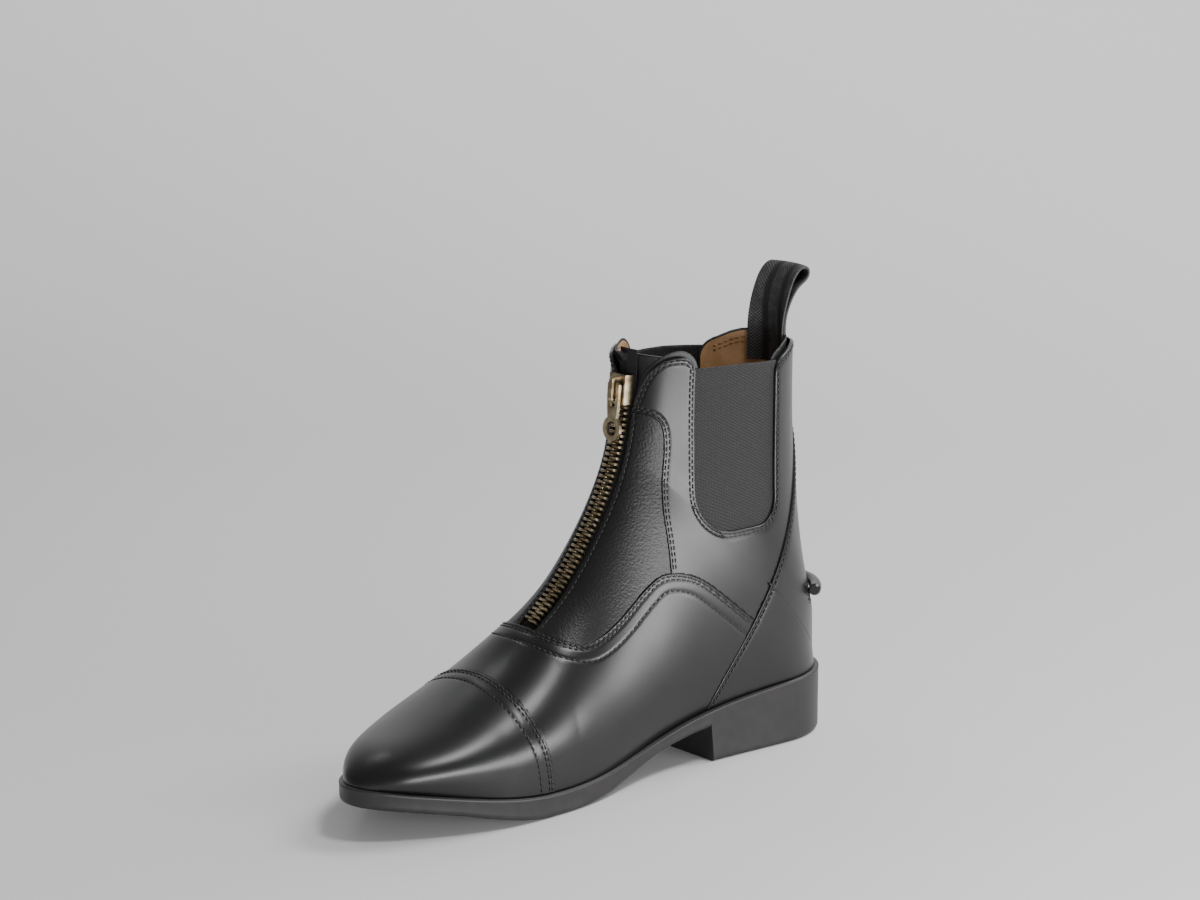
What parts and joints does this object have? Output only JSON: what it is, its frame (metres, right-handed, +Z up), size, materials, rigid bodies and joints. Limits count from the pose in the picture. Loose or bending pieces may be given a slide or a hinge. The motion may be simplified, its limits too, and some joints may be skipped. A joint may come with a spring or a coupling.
{
  "type": "paddock boot",
  "caption": "Left ankle-high riding boot with a front zip, toe cap, counter, elastic side panels, pull loop, spur rest and low heel.",
  "frame": {"origin": "middle of the bounding box, on the floor under the sole", "axes": "+Z up, toe towards -X and heel towards +X, the boot's outer side towards -Y"},
  "size_m": [0.265, 0.0838, 0.2126],
  "materials": {
    "sole": "smooth, half matt",
    "lining": "matt tan lining",
    "leather": "black, fine grain, polished",
    "soft_leather": "black, soft, half matt",
    "elastic": "black ribbed elastic",
    "zip_tape": "black woven tape",
    "brass": "aged, half polished",
    "webbing": "black and grey woven strap"
  },
  "bodies": {
    "boot": {"outsole": "sole", "insole": "lining", "upper": "lining", "toe_cap": "leather", "vamp": "leather", "counter": "leather", "quarter_outer": "leather", "facing_outer": "soft_leather", "gore_outer": "elastic", "quarter_inner": "leather", "facing_inner": "soft_leather", "gore_inner": "elastic", "zip_guard": "soft_leather", "zip_tape": "zip_tape", "zip_teeth": "brass", "zip_slider": "brass", "pull_loop": "webbing", "spur_rest": "leather"},
    "zip_pull": {"zip_pull": "brass"}
  },
  "joints": [
    {"name": "pull_hinge", "type": "hinge", "parent": "boot", "child": "zip_pull", "pos_m": [0.01711, -0.00372, 0.17213], "axis": [0, 1, 0], "range_deg": [0, 150]}
  ]
}
